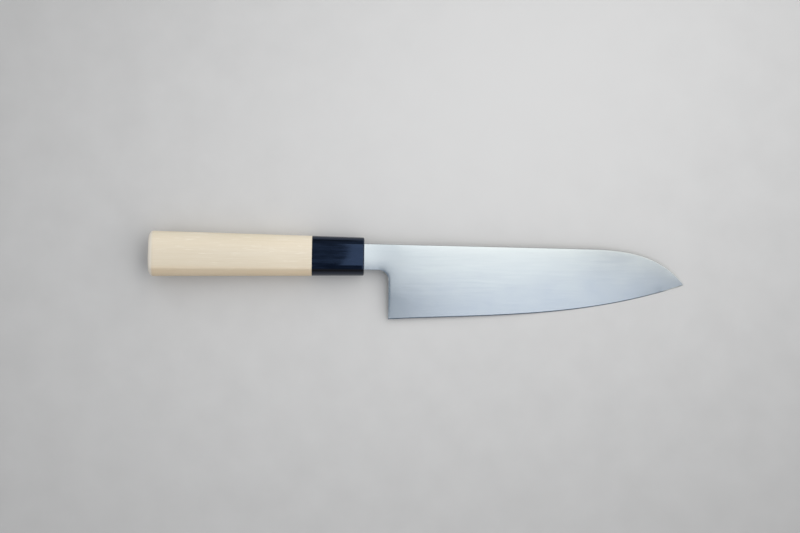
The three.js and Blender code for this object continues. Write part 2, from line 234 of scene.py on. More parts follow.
fleckShare = addNode(tree, "MapRange", {
    "Value": fleckNoise.outputs["Fac"], "From Min": wood["fleckSpread"][0],
    "From Max": wood["fleckSpread"][1], "To Max": wood["fleckShare"]})
woodFlecked = addNode(tree, "Mix", {
    0: fleckShare.outputs["Result"], 6: woodColour.outputs["Color"], 7: hexColour(wood["fleck"])},
    data_type="RGBA")
woodPlace = addNode(tree, "SeparateXYZ", {"Vector": place})
# painted shade by height: darker on the lower facet, palest at the top, where the light falls most
paintedHeightShare = addNode(tree, "MapRange", {
    "Value": woodPlace.outputs["Y"], "From Min": -wood["paintedShadeReach"], "From Max": wood["paintedShadeReach"]})
paintedHeightShade = addNode(tree, "ValToRGB", {"Fac": paintedHeightShare.outputs["Result"]}, stops=[
    ((up / wood["paintedShadeReach"] + 1) / 2, hexColour(colour)) for up, colour in wood["paintedHeightShade"]])
# painted shade along the handle: darker towards the butt, away from the light
paintedLengthShare = addNode(tree, "MapRange", {
    "Value": woodPlace.outputs["X"], "From Min": wood["paintedShadeRun"][0], "From Max": wood["paintedShadeRun"][1]},
    interpolation_type="SMOOTHSTEP")
paintedLengthShade = addNode(tree, "Mix", {
    0: paintedLengthShare.outputs["Result"], 6: hexColour(wood["paintedButtShade"]), 7: hexColour("#ffffff")},
    data_type="RGBA")
paintedShades = addNode(tree, "Mix", {
    0: 1.0, 6: paintedHeightShade.outputs["Color"], 7: paintedLengthShade.outputs[2]}, data_type="RGBA", blend_type="MULTIPLY")
woodWithPaintedShade = addNode(tree, "Mix", {
    0: 1.0, 6: woodFlecked.outputs[2], 7: paintedShades.outputs[2]}, data_type="RGBA", blend_type="MULTIPLY")
# painted light: the butt's rim turns paler, as if lit from the left
paintedRimShare = addNode(tree, "MapRange", {
    "Value": woodPlace.outputs["X"],
    "From Min": wood["paintedRimRun"][0] - handleLength, "From Max": wood["paintedRimRun"][1] - handleLength})
woodWithPaintedLight = addNode(tree, "Mix", {
    0: paintedRimShare.outputs["Result"], 6: woodWithPaintedShade.outputs[2], 7: hexColour(wood["end"])}, data_type="RGBA")
woodBump = addNode(tree, "Bump", {
    "Height": fibreNoise.outputs["Fac"], "Strength": wood["bump"], "Distance": wood["fibreDepth"]})
woodShader = addNode(tree, "BsdfPrincipled", {
    "Base Color": woodWithPaintedLight.outputs[2], "Roughness": wood["roughness"], "IOR": wood["ior"],
    "Specular IOR Level": wood["specular"], "Normal": woodBump.outputs["Normal"]})
addNode(tree, "OutputMaterial", {"Surface": woodShader.outputs["BSDF"]})

# Black buffalo horn, turned, scraped and buffed: nearly black and glossy, with faint lengthwise streaks.
horn = {
    "dark": "#06080d", "streak": "#141b27", "under": "#120d06", "sheen": "#99bcf5",
    "roughness": (0.035, 0.07), "ior": 1.54,
    "paintedReflectionRun": (-5.9, -6.6),                   # mm, browner below the ridge: partly the horn's own brown, partly painted to offset the blue of the facet's reflection
    "streakWidth": 3.0, "streakLength": 22.0,   # mm
    "streakStops": (0.4, 0.62),                 # noise levels of dark and streak
    "streakDepth": 0.0003, "bump": 0.03,        # metres, and how much of it counts
}
buffedHorn, tree = newMaterial("buffed_buffalo_horn")
place = addNode(tree, "Attribute", attribute_name="knifePlace").outputs["Vector"]
layers = addNode(tree, "Mapping", {"Vector": place, "Scale": (
    1 / horn["streakLength"], 1 / horn["streakWidth"], 1 / horn["streakWidth"])})
layerNoise = addNode(tree, "TexNoise", {
    "Vector": layers.outputs["Vector"], "Scale": 1.0, "Detail": 4.0, "Roughness": 0.6})
hornColour = addNode(tree, "ValToRGB", {"Fac": layerNoise.outputs["Fac"]}, stops=(
    (horn["streakStops"][0], hexColour(horn["dark"])), (horn["streakStops"][1], hexColour(horn["streak"]))))
hornHeight = addNode(tree, "SeparateXYZ", {"Vector": place})
# painted reflection: the lower facet's colour turns brown to warm its blue-tinted reflection, partly the
# horn's own brown
paintedReflectionShare = addNode(tree, "MapRange", {
    "Value": hornHeight.outputs["Y"], "From Min": horn["paintedReflectionRun"][0], "From Max": horn["paintedReflectionRun"][1]})
hornWithPaintedReflection = addNode(tree, "Mix", {
    0: paintedReflectionShare.outputs["Result"], 6: hornColour.outputs["Color"], 7: hexColour(horn["under"])},
    data_type="RGBA")
hornRoughness = addNode(tree, "MapRange", {
    "Value": layerNoise.outputs["Fac"], "From Min": noiseSpread[0], "From Max": noiseSpread[1],
    "To Min": horn["roughness"][0], "To Max": horn["roughness"][1]})
hornBump = addNode(tree, "Bump", {
    "Height": layerNoise.outputs["Fac"], "Strength": horn["bump"], "Distance": horn["streakDepth"]})
hornShader = addNode(tree, "BsdfPrincipled", {
    "Base Color": hornWithPaintedReflection.outputs[2], "Roughness": hornRoughness.outputs["Result"], "IOR": horn["ior"],
    "Specular Tint": hexColour(horn["sheen"]), "Normal": hornBump.outputs["Normal"]})
addNode(tree, "OutputMaterial", {"Surface": hornShader.outputs["BSDF"]})

# Dark epoxy, poured around the neck and wiped: dull brown-black, slightly uneven.
resin = {
    "dark": "#1d1813", "pale": "#33291d", "roughness": 0.42, "ior": 1.55,
    "cloud": 1.5,                    # mm
    "depth": 0.0003, "bump": 0.1,    # metres, and how much of it counts
}
pouredResin, tree = newMaterial("poured_dark_epoxy")
place = addNode(tree, "Attribute", attribute_name="knifePlace").outputs["Vector"]
clouds = addNode(tree, "TexNoise", {"Vector": place, "Scale": 1 / resin["cloud"], "Detail": 3.0})
resinColour = addNode(tree, "Mix", {
    0: clouds.outputs["Fac"], 6: hexColour(resin["dark"]), 7: hexColour(resin["pale"])}, data_type="RGBA")
resinBump = addNode(tree, "Bump", {
    "Height": clouds.outputs["Fac"], "Strength": resin["bump"], "Distance": resin["depth"]})
resinShader = addNode(tree, "BsdfPrincipled", {
    "Base Color": resinColour.outputs[2], "Roughness": resin["roughness"], "IOR": resin["ior"],
    "Normal": resinBump.outputs["Normal"]})
addNode(tree, "OutputMaterial", {"Surface": resinShader.outputs["BSDF"]})

# Amber bedding epoxy, cast in the bore around the tang: cloudy and slightly uneven.
bedding = {
    "dark": "#6f5a37", "pale": "#9c8455", "roughness": 0.5, "ior": 1.55,
    "cloud": 0.004,                  # metres
    "depth": 0.0004, "bump": 0.15,   # metres, and how much of it counts
}
castEpoxy, tree = newMaterial("cast_amber_epoxy")
place = addNode(tree, "TexCoord").outputs["Object"]
clouds = addNode(tree, "TexNoise", {"Vector": place, "Scale": 1 / bedding["cloud"], "Detail": 4.0})
beddingColour = addNode(tree, "Mix", {
    0: clouds.outputs["Fac"], 6: hexColour(bedding["dark"]), 7: hexColour(bedding["pale"])},
    data_type="RGBA")
beddingBump = addNode(tree, "Bump", {
    "Height": clouds.outputs["Fac"], "Strength": bedding["bump"], "Distance": bedding["depth"]})
beddingShader = addNode(tree, "BsdfPrincipled", {
    "Base Color": beddingColour.outputs[2], "Roughness": bedding["roughness"], "IOR": bedding["ior"],
    "Normal": beddingBump.outputs["Normal"]})
addNode(tree, "OutputMaterial", {"Surface": beddingShader.outputs["BSDF"]})
frame["nodes"]["tang_bedding"].data.materials.clear()
frame["nodes"]["tang_bedding"].data.materials.append(castEpoxy)
print("materials made")


def bezier(points, t):
    # Bernstein sum of three or four control points, at every t
    points = np.array(points, float)
    t = np.asarray(t, float)[:, None]
    if len(points) == 3:
        return (1 - t) ** 2 * points[0] + 2 * t * (1 - t) * points[1] + t ** 2 * points[2]
    return ((1 - t) ** 3 * points[0] + 3 * t * (1 - t) ** 2 * points[1]
            + 3 * t ** 2 * (1 - t) * points[2] + t ** 3 * points[3])


def alongPath(path, shares):
    # points of a polyline at these shares of its whole length
    run = np.concatenate([[0], np.cumsum(np.linalg.norm(np.diff(path, axis=0), axis=1))])
    return np.stack([np.interp(shares * run[-1], run, path[:, k]) for k in (0, 1)], -1)


def unit(vectors):
    # each vector divided by its length
    return vectors / np.maximum(np.linalg.norm(vectors, axis=-1, keepdims=True), 1e-12)


def smoothMin(a, b, width):
    # the smaller of two heights, with the corner between them rounded over this width
    near = np.maximum(width - np.abs(a - b), 0) / width
    return np.minimum(a, b) - near ** 2 * width / 4


blade = {
    "length": 170.49, "neck": 14.5,                   # heel corner to tip, mouth to heel corner
    "spineRise": 7.4, "spineFall": 1.0,
    "neckDepth": 7.7, "neckFillet": 5.9,
    "heelDepth": 36.4, "tipDepth": 13.8,
    "heelLean": -0.02,                                # below zero, the heel's back leans to the handle
    "edgeRunHeel": 57.0, "edgeSlopeHeel": 0.065, "edgeRunTip": 57.0, "edgeSlopeTip": 0.36,
    "noseLength": 55.0, "noseRunSpine": 28.0, "noseRunTip": 12.0, "noseSlopeTip": 1.2,
    "spineThickness": 2.8, "noseThickness": 2.0, "flatFall": 0.8, "flatShare": 0.56,
    "shoulderThickness": 0.28, "bevelWidth": 0.55,
    "shoulder": -4.2, "tangHeight": 8.0, "tangEnd": -87.4, "tangEndHeight": 5.0, "tangEndThickness": 1.8,
    "tangStep": 0.3,                                  # length of the step between tang and neck
    "spineEase": 0.25, "heelEase": 0.5,               # rubbed round edges
    "easeShare": 0.3,                                 # and the most they take of half the thickness
    "heelRoll": (0.12, 10.0), "neckRoll": (0.26, 10.5),   # how far and how wide the face rolls off towards
    "spineRoll": (0.1, 7.0),                          # the heel's back, the neck's underside and the spine
    "heelRub": (0.13, 1.6),                           # a narrower rubbed strip at the heel's back
    "neckTaper": 0.38, "neckTaperLength": 20.0, "neckTaperFade": 165.0,   # the neck is stouter at the mouth
    "neckLean": 0.024, "neckLeanLength": 22.0,        # and leans back towards the spine there
    "grindBlend": 0.25,                               # width over which flat and grind run together
    "tipShare": 0.6, "tipRound": 1.2,                 # thinning along the nose, and the round of the tip
    "grindSlope": 0.046, "shoulderShare": 0.6,        # the grind's steepest, the shoulder's stoutest
    # fineness: columns at the heel, between and at the tip, with the shares of the length that part them
    "columns": (18, 150, 46), "columnEnds": (0.04, 0.9), "tipCrowding": 1.5, "pathSteps": 600,
    "rows": 26, "grindRows": 34, "tangSteps": (9, 24), "neckSteps": 26, "filletSteps": 29, "roundSteps": 12,
}


def bladeGrids(b):
    # Each face is a net of columns from spine to edge, whose half thickness is the smooth smaller of
    # the flat, which thins evenly towards tip and edge, and the grind, a straight fall to the bevel.
    heelX, tipX = b["neck"], b["neck"] + b["length"]
    noseX = tipX - b["noseLength"]
    spineSlope = -b["spineFall"] / noseX
    spineAt = lambda x: b["spineRise"] + spineSlope * x
    heelAt = lambda y: heelX + b["heelLean"] * (y + b["heelDepth"])
    thinX = (b["spineThickness"] - b["noseThickness"]) / 2 / noseX
    thinY = b["flatFall"] / 2 / ((spineAt(heelX) + b["heelDepth"]) * b["flatShare"])
    flat = lambda p: b["spineThickness"] / 2 - thinX * p[..., 0] - thinY * (spineAt(p[..., 0]) - p[..., 1])
    tip = (tipX, -b["tipDepth"])
    tiny, leastTaper = 1e-9, 0.02   # against division by nothing at the tip
    slack = 1.0001                  # for rounding

    # outline from above: spine with its nose, and edge
    steps = np.linspace(0, 1, b["pathSteps"])
    noseEnd = noseX + b["noseRunSpine"]
    nose = bezier([
        (noseX, spineAt(noseX)), (noseEnd, spineAt(noseEnd)),
        (tipX - b["noseRunTip"], b["noseSlopeTip"] * b["noseRunTip"] - b["tipDepth"]), tip], steps)
    heelTop = (heelAt(b["spineRise"]), spineAt(heelAt(b["spineRise"])))
    spinePath = np.concatenate([[heelTop], nose])
    edgePath = bezier([
        (heelX, -b["heelDepth"]),
        (heelX + b["edgeRunHeel"], b["edgeSlopeHeel"] * b["edgeRunHeel"] - b["heelDepth"]),
        (tipX - b["edgeRunTip"], -b["tipDepth"] - b["edgeSlopeTip"] * b["edgeRunTip"]), tip], steps)
    heelEnd, tipStart = b["columnEnds"]
    heelColumns, midColumns, tipColumns = b["columns"]
    crowded = np.linspace(1, 0, tipColumns) ** b["tipCrowding"]
    shares = np.concatenate([
        np.linspace(0, heelEnd, heelColumns), np.linspace(heelEnd, tipStart, midColumns)[1:],
        1 - (1 - tipStart) * crowded[1:]])
    top, edge = alongPath(spinePath, shares), alongPath(edgePath, shares)
    toTip = (1 - shares) * np.linalg.norm(np.diff(spinePath, axis=0), axis=1).sum()
    taper = np.interp(toTip, [0, b["noseLength"]], [b["tipShare"], 1])
    taper *= np.sqrt(1 - (1 - np.minimum(toTip / b["tipRound"], 1)) ** 2)

    # outline of tang and neck: a rounded tang end, a step inside the ferrule, and the fillet under the neck
    endSteps, tangSteps = b["tangSteps"]
    turn = np.linspace(0, pi / 2, endSteps)
    endRound = b["tangEndHeight"] / 2
    roundX, stepX = b["tangEnd"] + endRound, b["shoulder"] - b["tangStep"]
    tangX = np.concatenate([b["tangEnd"] + endRound * (1 - np.cos(turn)),
                            np.linspace(roundX, stepX, tangSteps)[1:]])
    tangHalf = np.interp(tangX, [roundX, stepX], [endRound, b["tangHeight"] / 2])
    tangHalf[:endSteps] = endRound * np.sin(turn)
    filletY = -b["neckDepth"] - b["neckFillet"]
    filletX = heelAt(filletY) - b["neckFillet"]
    neckX = np.linspace(b["shoulder"], filletX, b["neckSteps"])
    bend = np.linspace(pi / 2, 0, b["filletSteps"])[1:]
    fromCentre = np.stack([np.cos(bend), np.sin(bend)], -1)
    fillet = (filletX, filletY) + b["neckFillet"] * fromCentre
    neckTopX = np.linspace(filletX, heelTop[0], b["filletSteps"])[1:]
    upper = np.concatenate([np.stack([tangX, tangHalf], -1), np.stack([neckX, spineAt(neckX)], -1),
                            np.stack([neckTopX, spineAt(neckTopX)], -1)])
    lower = np.concatenate([np.stack([tangX, -tangHalf], -1),
                            np.stack([neckX, np.full_like(neckX, -b["neckDepth"])], -1), fillet])
    tangThin = np.interp(upper[:, 0], [b["tangEnd"], b["shoulder"]],
                         [b["tangEndThickness"] / 2 / flat(np.array([b["tangEnd"], 0.0])), 1.0])

    # rows are drawn in from the outline by the rubbed edges
    def inset(path, ease, half):
        # directions square to the path, and how far a row is drawn in: the ease, or a share of the thickness
        heading = unit(np.gradient(path, axis=0))
        away = np.stack([-heading[:, 1], heading[:, 0]], -1)
        return away, np.minimum(ease, b["easeShare"] * half)
    rim = np.concatenate([upper, top[1:]])
    rimHalf = np.concatenate([flat(upper) * tangThin, (flat(top) * taper)[1:]])
    rimAway, rimDepth = inset(rim, b["spineEase"], rimHalf)
    rimAway[0] = (-1, 0)
    neckCount = len(upper)
    rimIn = rim - rimAway * rimDepth[:, None]
    lowEase = np.where(lower[:, 0] < b["shoulder"], b["spineEase"], b["heelEase"])
    lowAway, lowDepth = inset(lower, lowEase, flat(lower) * tangThin)
    lowAway = -lowAway
    lowAway[0] = (-1, 0)
    lowAway[-len(bend):] = -fromCentre
    lowIn = lower - lowAway * lowDepth[:, None]

    def rolled(p, half, fromSpine):
        # the face falls a little near the neck's underside, the heel's back and the spine
        toFillet = np.hypot(p[..., 0] - filletX, p[..., 1] - filletY) - b["neckFillet"]
        gap = np.where(p[..., 1] < filletY, p[..., 0] - heelAt(p[..., 1]),
                       np.where(p[..., 0] > filletX, toFillet, p[..., 1] + b["neckDepth"]))
        ahead, above = np.maximum(p[..., 0] - filletX, tiny), np.maximum(p[..., 1] - filletY, 0)
        bent = np.arctan2(above, ahead) / (pi / 2)   # 0 at the heel's back, 1 under the neck
        depth, width = (heel + (neck - heel) * bent for heel, neck in zip(b["heelRoll"], b["neckRoll"]))
        nose = np.clip((tipX - p[..., 0]) / b["noseLength"], 0, 1) * np.clip(p[..., 0] / b["neck"], 0, 1)
        mouth = np.cos(np.clip(p[..., 0] / b["neckLeanLength"], 0, 1) * pi) / 2 + 0.5
        thinned = np.sin(np.clip(p[..., 0] / b["neckTaperLength"], 0, 1) * pi / 2)
        beyond = (p[..., 0] - b["neckTaperLength"]) / b["neckTaperFade"]
        regain = np.cos(np.clip(beyond, 0, 1) * pi) / 2 + 0.5
        fall = (depth * np.clip(1 - gap / width, 0, 1) ** 3
                + b["spineRoll"][0] * nose * np.clip(1 - fromSpine / b["spineRoll"][1], 0, 1) ** 3
                + b["heelRub"][0] * (1 - bent) * np.clip(1 - gap / b["heelRub"][1], 0, 1) ** 2
                + b["neckLean"] * mouth * np.maximum(p[..., 1] + b["neckDepth"], 0)
                + b["neckTaper"] * thinned * regain)
        thick = np.maximum(half - b["shoulderThickness"] / 2, 0) / (b["spineThickness"] / 2)
        return half - fall * np.clip(1 - p[..., 0] / b["shoulder"], 0, 1) * thick

    rows = b["rows"]
    down = np.linspace(0, 1, rows)
    neckNet = rimIn[:neckCount, None] + (lowIn - rimIn[:neckCount])[:, None] * down[None, :, None]
    belowSpine = spineAt(neckNet[..., 0]) - neckNet[..., 1]
    neckHalf = rolled(neckNet, flat(neckNet) * tangThin[:, None], belowSpine)

    # blade columns: the flat and the grind down to the bevel's shoulder, then the edge
    height = np.linalg.norm(top - edge, axis=1)
    ground = (1 - b["flatShare"]) * height
    bevel = np.minimum(b["bevelWidth"], ground / 2)
    rise = unit(top - edge)
    shoulder = edge + rise * bevel[:, None]
    topIn = np.concatenate([rimIn[neckCount - 1:neckCount], rimIn[neckCount:]])
    heelShare = np.linalg.norm(lowIn[-1] - topIn[0]) / np.linalg.norm(shoulder[0] - topIn[0])
    grindDown = np.linspace(0, 1, b["grindRows"])[1:]
    fall = np.concatenate([heelShare * down, heelShare + (1 - heelShare) * grindDown])
    net = topIn[:, None] + (shoulder - topIn)[:, None] * fall[None, :, None]
    net = np.concatenate([net, edge[:, None]], 1)
    grindRun = np.maximum(ground - bevel, tiny)
    grindHalf = flat(edge + rise * ground[:, None]) * taper
    shoulderHalf = np.minimum(b["shoulderThickness"] / 2, b["shoulderShare"] * flat(top) * taper)
    shoulderHalf = np.maximum(shoulderHalf, grindHalf - b["grindSlope"] * grindRun)

    def bladeHalf(p):
        # half the thickness by the height above the edge: the bevel, then the smaller of grind and flat
        up = np.linalg.norm(p - edge[:, None], axis=-1)
        climb = (up - bevel[:, None]) / grindRun[:, None]
        grind = shoulderHalf[:, None] + (grindHalf - shoulderHalf)[:, None] * climb
        blend = b["grindBlend"] * np.maximum(taper, leastTaper)[:, None]
        half = smoothMin(flat(p) * taper[:, None], grind, blend)
        half = np.maximum(rolled(p, half, height[:, None] - up), 0)
        bevelHalf = shoulderHalf[:, None] * up / np.maximum(bevel, tiny)[:, None]
        return np.where(up < bevel[:, None] * slack, bevelHalf, half)
    # the first column stands back from the heel by its rubbed edge
    heelHalf = bladeHalf(net)[0]
    heelY = net[0, rows:, 1]
    heelIn = np.minimum(b["heelEase"], b["easeShare"] * heelHalf[rows:])
    net[0, :rows] = neckNet[-1]
    net[0, rows:, 0] = heelAt(heelY) + heelIn
    half = bladeHalf(net)
    half[0, :rows] = neckHalf[-1]
    half[:, -1] = 0
    half[-1] = 0
    net[-1] = tip

    def sheet(points, heights, side):
        # a net raised to its half thickness, on one side of the blade's middle plane
        return np.concatenate([points, side * heights[..., None]], -1)

    def band(inner, away, depth, heights):
        # a strip from the right face to the left one, with a quarter round at each side
        quarter = np.linspace(0, pi / 2, b["roundSteps"])
        out = np.concatenate([np.sin(quarter), np.sin(quarter)[::-1]])
        drop = np.concatenate([1 - np.cos(quarter), (1 - np.cos(quarter))[::-1]])
        side = np.repeat([1.0, -1.0], len(quarter))
        flatPart = inner[:, None] + (away * depth[:, None])[:, None] * out[None, :, None]
        z = side * (heights[:, None] - depth[:, None] * drop)
        return np.concatenate([flatPart, z[..., None]], -1)
    rimIn[-1] = tip
    rimDepth[-1] = 0
    rimHalf = np.concatenate([neckHalf[:, 0], half[1:, 0]])
    heelAway = unit(np.array([[-1.0, b["heelLean"]]]))
    lowSeq = np.concatenate([lowIn, net[0, rows:]])
    lowAwaySeq = np.concatenate([lowAway, np.repeat(heelAway, len(heelY), 0)])
    lowDepthSeq = np.concatenate([lowDepth, heelIn])
    lowHalfSeq = np.concatenate([neckHalf[:, -1], half[0, rows:]])
    lowDepthSeq[-1] = 0
    grids = [sheet(neckNet, neckHalf, s) for s in (1, -1)] + [sheet(net, half, s) for s in (1, -1)]
    grids += [band(rimIn, rimAway, rimDepth, rimHalf), band(lowSeq, lowAwaySeq, lowDepthSeq, lowHalfSeq)]
    return [(grid, False, False) for grid in grids]


makePiece("santoku_blade", bladeGrids(blade), "blade", satinSteel, crease=10)

handle = {
    "skin": 0.04,                                     # keeps the round faces inside the CAD box
    "mouthHeight": 22.03, "mouthWidth": 17.8, "buttHeight": 26.03, "buttWidth": 21.3,
    "ridgeShare": 0.555, "faceCrown": 0.3, "ridgeEase": 0.014,   # shares of half height and of curves
    "facetPull": ((-0.87, 0.72), (-1.0, 0.55)),       # shares of both halves, where the facet swells
    "buttRound": 3.0, "seamEase": 0.12, "glueLine": 0.1,
    "tenon": 6.9, "tenonFront": -10.0, "tenonRoot": 0.5,   # radius, place of the front, first ring
    "bore": (5.5, 2.855), "boreEnd": -88.9,           # half height and thickness of the tang's bore
    "sectionSteps": (72, 40, 90, 8),                  # face, facet, back and ridge
    "endSteps": 7, "rimSteps": 12, "lengthSteps": 60, "seamSteps": 5,
}
ferrule = {
    "length": 29.8, "rimRound": 0.8, "seamEase": 0.12,
    "socket": 7.2, "fitGap": 0.3,                     # radius around the tenon, room ahead of it
    "slot": (9.07, 2.91), "slotMiddle": -0.134, "slotDepth": 4.5, "slotEase": 0.25,
    "rimSteps": 9, "lengthSteps": 40, "faceSteps": 6, "seamSteps": 5,
}


def dSection(h):
    # a unit D: cubic lower facet, half ellipse on the left, a broad face on a longer ellipse whose middle
    # lies a crown below the axis, and the rubbed ridge where face and facet meet
    ridge, crown, ease = h["ridgeShare"], h["faceCrown"], h["ridgeEase"]
    faceSteps, facetSteps, backSteps, ridgeSteps = h["sectionSteps"]
    reach = 1 + crown
    ridgeTurn = np.arccos((crown - ridge) / reach)
    turn = np.linspace(0, ridgeTurn * (1 - ease), faceSteps)
    face = np.stack([reach * np.cos(turn) - crown, np.sin(turn)], -1)
    peak = (-ridge, np.sin(ridgeTurn))
    facet = bezier([peak, *h["facetPull"], (-1, 0)], np.linspace(ease * 2, 1, facetSteps))
    angle = np.linspace(pi, 2 * pi, backSteps)[1:-1]
    back = np.stack([np.cos(angle), np.sin(angle)], -1)
    corner = bezier([face[-1], peak, facet[0]], np.linspace(0, 1, ridgeSteps)[1:-1])
    return np.concatenate([facet, back, face, corner])


section = dSection(handle)
sectionAngle = np.arctan2(section[:, 1], section[:, 0])


def dRing(x, inset=0.0, share=1.0):
    # the D at each place along the handle, tapered evenly, drawn in by an inset, shrunk by a share
    x = np.atleast_1d(np.asarray(x, float))
    x, inset, share = np.broadcast_arrays(x, inset + handle["skin"], share)
    run = x / -handleLength
    high = (handle["mouthHeight"] + (handle["buttHeight"] - handle["mouthHeight"]) * run) / 2 - inset
    wide = (handle["mouthWidth"] + (handle["buttWidth"] - handle["mouthWidth"]) * run) / 2 - inset
    size = np.stack([high * share, wide * share], -1)[:, None]
    station = np.broadcast_to(x[:, None, None], (len(x), len(section), 1))
    return np.concatenate([station, section * size], -1)


def roundRing(x, radius):
    # a circle of the tenon's kind at each place, its points at the same angles as the D's
    x, radius = np.broadcast_arrays(np.atleast_1d(np.asarray(x, float)), radius)
    ring = np.stack([np.cos(sectionAngle), np.sin(sectionAngle)], -1)[None] * radius[:, None, None]
    station = np.broadcast_to(x[:, None, None], (len(x), len(section), 1))
    return np.concatenate([station, ring], -1)


def boxRing(x, halfY, halfZ, middle=0.0):
    # a rectangle with slightly round corners: the twelfth-power ellipse, read at the D's angles
    x, halfY, halfZ = np.broadcast_arrays(np.atleast_1d(np.asarray(x, float)), halfY, halfZ)
    c, s = np.cos(sectionAngle)[None], np.sin(sectionAngle)[None]
    power = 12
    reach = (np.abs(c / halfY[:, None]) ** power + np.abs(s / halfZ[:, None]) ** power) ** (-1 / power)
    station = np.broadcast_to(x[:, None], reach.shape)
    return np.stack([station, middle + reach * c, reach * s], -1)


def quarterTurn(count):
    # a quarter circle's way along and its drop, as sine and one less cosine
    turn = np.linspace(0, pi / 2, count)
    return np.sin(turn), 1 - np.cos(turn)


def handleGrid(h, f):
    # the D carried from the butt's middle over its round rim to the joint, then the tenon and the bore
    butt, joint = -handleLength, -f["length"] - h["glueLine"]
    go, drop = quarterTurn(h["rimSteps"])
    seamGo, seamDrop = quarterTurn(h["seamSteps"])
    point = 1e-6   # closes the bore's end
    rings = [
        dRing(butt, h["buttRound"], np.linspace(0, 1, h["endSteps"])),
        dRing(butt + h["buttRound"] * drop, h["buttRound"] * (1 - go))[1:],
        dRing(np.linspace(butt + h["buttRound"], joint - h["seamEase"], h["lengthSteps"]))[1:],
        dRing(joint - h["seamEase"] * (1 - seamGo), h["seamEase"] * seamDrop)[1:],
        roundRing([joint, joint + h["tenonRoot"], h["tenonFront"]], h["tenon"]),
        boxRing([h["tenonFront"], h["boreEnd"]], *h["bore"]),
        boxRing(h["boreEnd"], point, point),
    ]
    return [(np.concatenate(rings), False, True)]


def ferruleGrid(f, h):
    # one closed tube wall: joint face, outside, round front rim, slot, passage and the tenon's socket
    back, socketFront = -f["length"], h["tenonFront"] + f["fitGap"]
    go, drop = quarterTurn(f["rimSteps"])
    seamGo, seamDrop = quarterTurn(f["seamSteps"])
    slotY, slotZ = f["slot"]
    middle = f["slotMiddle"]
    rimRing = dRing(0.0, f["rimRound"])
    ease = f["slotEase"]
    slotEdge = boxRing(0.0, slotY + ease, slotZ + ease, middle)
    between = np.linspace(0, 1, f["faceSteps"])[1:-1, None, None]
    easeIn = ease * (1 - seamGo)
    rings = [
        roundRing(back, f["socket"]),
        dRing(back + f["seamEase"] * seamDrop, f["seamEase"] * (1 - seamGo)),
        dRing(np.linspace(back + f["seamEase"], -f["rimRound"], f["lengthSteps"]))[1:],
        dRing(-f["rimRound"] * (1 - go), f["rimRound"] * drop)[1:],
        rimRing * (1 - between) + slotEdge * between,
        boxRing(-ease * seamDrop, slotY + easeIn, slotZ + easeIn, middle),
        boxRing(-f["slotDepth"], slotY, slotZ, middle),
        boxRing([-f["slotDepth"], socketFront], *h["bore"]),
        roundRing(socketFront, f["socket"]),
    ]
    return [(np.concatenate(rings), True, True)]


seal = {
    "inner": (7.6, 1.44), "gap": 0.03,   # half height and thickness at the neck, room inside the slot
    "front": -0.4, "back": -4.2, "dip": 0.35, "steps": 7,
}


def sealGrid(s, f):
    # a ring of rectangles whose front dips between the horn and the steel as set resin does
    outer = [size - s["gap"] for size in f["slot"]]
    middle = f["slotMiddle"]
    mix = np.linspace(0, 1, s["steps"])
    front = s["front"] - s["dip"] * np.sin(pi * mix)
    between = [far + (near - far) * mix for far, near in zip(outer, s["inner"])]
    rings = [
        boxRing(front, *between, middle),
        boxRing(s["back"], *s["inner"], middle),
        boxRing(s["back"], *outer, middle),
    ]
    return [(np.concatenate(rings), True, True)]


makePiece("magnolia_handle", handleGrid(handle, ferrule), "handle_body", sandedMagnolia, crease=38)
makePiece("horn_ferrule", ferruleGrid(ferrule, handle), "ferrule", buffedHorn, crease=38)
makePiece("neck_seal", sealGrid(seal, ferrule), "mouth_seal", pouredResin, crease=38)

# Board under the knife: a neutral grey with a painted pool of light, palest above the middle and darkening
# outwards as painted shade, with a faint mottle.
floor = {
    "size": 6.0, "pale": "#dadada", "dark": "#7c7c7c", "roughness": 0.85, "specular": 0.2,
    "paintedLightMiddle": (0.059, 0.112), "paintedLightReach": (0.429, 0.315), "paintedLightTurn": 30.0,   # metres and degrees: middle, reach and turn of the painted pool of light
    "mottle": 0.02, "mottleSwing": 0.1,   # metres, and how far it shifts the fading either way
}
boardWithPaintedLight, tree = newMaterial("board_with_painted_light")
place = addNode(tree, "TexCoord").outputs["Object"]
# painted light: the floor's colour fades from pale at the pool's middle to dark far out, in place of the
# light's falloff
paintedLightPlace = addNode(tree, "Mapping", {
    "Vector": place, "Location": (*floor["paintedLightMiddle"], 0.0), "Rotation": (0.0, 0.0, radians(floor["paintedLightTurn"])),
    "Scale": (*floor["paintedLightReach"], 1.0)}, vector_type="TEXTURE")
away = addNode(tree, "VectorMath", {0: paintedLightPlace.outputs["Vector"]}, operation="LENGTH")
mottle = addNode(tree, "TexNoise", {"Vector": place, "Scale": 1 / floor["mottle"], "Detail": 5.0})
mottleShift = addNode(tree, "MapRange", {
    "Value": mottle.outputs["Fac"], "To Min": -floor["mottleSwing"], "To Max": floor["mottleSwing"]})
fade = addNode(tree, "Math", {0: away.outputs["Value"], 1: mottleShift.outputs["Result"]}, operation="ADD")
fadeSquare = addNode(tree, "Math", {0: fade.outputs[0], 1: fade.outputs[0]}, operation="MULTIPLY")
fadeFoot = addNode(tree, "Math", {0: fadeSquare.outputs[0], 1: 1.0}, operation="ADD")
paintedShadeShare = addNode(tree, "Math", {0: fadeSquare.outputs[0], 1: fadeFoot.outputs[0]}, operation="DIVIDE")
floorWithPaintedLight = addNode(tree, "Mix", {
    0: paintedShadeShare.outputs[0], 6: hexColour(floor["pale"]), 7: hexColour(floor["dark"])}, data_type="RGBA")
floorShader = addNode(tree, "BsdfPrincipled", {
    "Base Color": floorWithPaintedLight.outputs[2], "Roughness": floor["roughness"],
    "Specular IOR Level": floor["specular"]})
